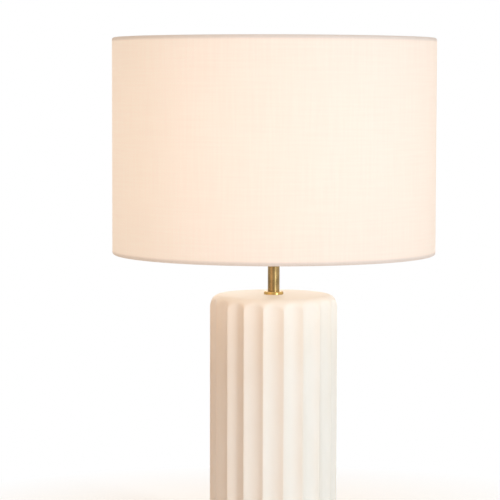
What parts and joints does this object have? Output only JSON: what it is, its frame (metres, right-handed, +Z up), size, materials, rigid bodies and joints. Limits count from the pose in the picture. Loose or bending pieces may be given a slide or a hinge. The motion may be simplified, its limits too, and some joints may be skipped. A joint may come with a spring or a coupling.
{
  "type": "column table lamp",
  "caption": "Table lamp with a fluted ceramic column, a brass stem and socket, a wire harp and a straight drum shade of pale fabric.",
  "frame": {"origin": "on the table, under the middle of the lamp", "axes": "+Z up along the lamp's axis, -Y to the front, where the switch points"},
  "size_m": [0.381, 0.381, 0.61],
  "materials": {
    "matte_ceramic": "matte cream glaze",
    "wool_felt": "pressed felt",
    "zinc_steel": "zinc plated",
    "moulded_nylon": "moulded",
    "satin_brass": "satin, slightly aged",
    "screw_steel": "plated",
    "plain_brass": "plain pressed brass",
    "white_wire": "white powder coat",
    "linen": "plain weave, pale ivory",
    "styrene": "translucent white sheet",
    "card": "varnished card",
    "phenolic": "moulded, dark brown-black",
    "shaft_brass": "turned",
    "black_glass": "glassy black",
    "bulb_aluminium": "pressed",
    "opal_glass": "frosted white, lit",
    "clear_glass": "clear",
    "filament_phosphor": "yellow phosphor"
  },
  "bodies": {
    "stand": {"column_body": "matte_ceramic", "base_felt": "wool_felt", "base_plate": "zinc_steel", "base_washer": "zinc_steel", "base_lock_washer": "zinc_steel", "base_nut": "zinc_steel", "lamp_pipe": "zinc_steel", "cord_bushing": "moulded_nylon", "seating_ring": "satin_brass", "neck_tube": "satin_brass", "check_ring": "satin_brass", "harp_saddle": "satin_brass", "socket_cap": "satin_brass", "socket_set_screw": "screw_steel", "socket_shell": "satin_brass", "socket_insulator": "card", "socket_interior": "phenolic", "terminal_screws": "screw_steel", "socket_screw_shell": "plain_brass", "socket_contact": "plain_brass"},
    "harp": {"harp_wire": "satin_brass"},
    "ferrule_left": {"harp_ferrule_left": "satin_brass"},
    "ferrule_right": {"harp_ferrule_right": "satin_brass"},
    "shade_swivel": {"harp_stud": "satin_brass"},
    "shade": {"shade_hub": "white_wire", "shade_arms": "white_wire", "shade_top_ring": "white_wire", "shade_bottom_ring": "white_wire", "shade_fabric": "linen", "shade_liner": "styrene"},
    "finial": {"finial": "satin_brass"},
    "switch": {"switch_shaft": "shaft_brass", "switch_knob": "phenolic"},
    "bulb_carrier": {"bulb_contact": "plain_brass", "bulb_insulator": "black_glass"},
    "bulb": {"bulb_cap": "bulb_aluminium", "bulb_glass": "opal_glass", "bulb_stem": "clear_glass", "bulb_filaments": "filament_phosphor"}
  },
  "joints": [
    {"name": "harp_lift", "type": "slide", "parent": "stand", "child": "harp", "axis": [0, 0, 1], "range_m": [0, 0.03]},
    {"name": "ferrule_left_lift", "type": "slide", "parent": "harp", "child": "ferrule_left", "axis": [0, 0, 1], "range_m": [0, 0.015]},
    {"name": "ferrule_right_lift", "type": "slide", "parent": "harp", "child": "ferrule_right", "axis": [0, 0, 1], "range_m": [0, 0.015]},
    {"name": "shade_turn", "type": "hinge", "parent": "harp", "child": "shade_swivel", "pos_m": [0, 0, 0.5846], "axis": [0, 0, 1], "continuous": true},
    {"name": "shade_lift", "type": "slide", "parent": "shade_swivel", "child": "shade", "axis": [0, 0, 1], "range_m": [0, 0.26]},
    {"name": "finial_turn", "type": "hinge", "parent": "shade", "child": "finial", "pos_m": [0, 0, 0.5868], "axis": [0, 0, 1], "continuous": true},
    {"name": "switch_turn", "type": "hinge", "parent": "stand", "child": "switch", "pos_m": [0, -0.0225, 0.4117], "axis": [0, -1, 0], "continuous": true},
    {"name": "bulb_rise", "type": "slide", "parent": "stand", "child": "bulb_carrier", "axis": [0, 0, 1], "range_m": [0, 0.01824]},
    {"name": "bulb_turn", "type": "hinge", "parent": "bulb_carrier", "child": "bulb", "pos_m": [0, 0, 0.44], "axis": [0, 0, 1], "range_deg": [0, 1800]}
  ],
  "couplings": [
    {"joint": "bulb_rise", "follows": "bulb_turn", "m_per_rad": 0.00057757}
  ]
}
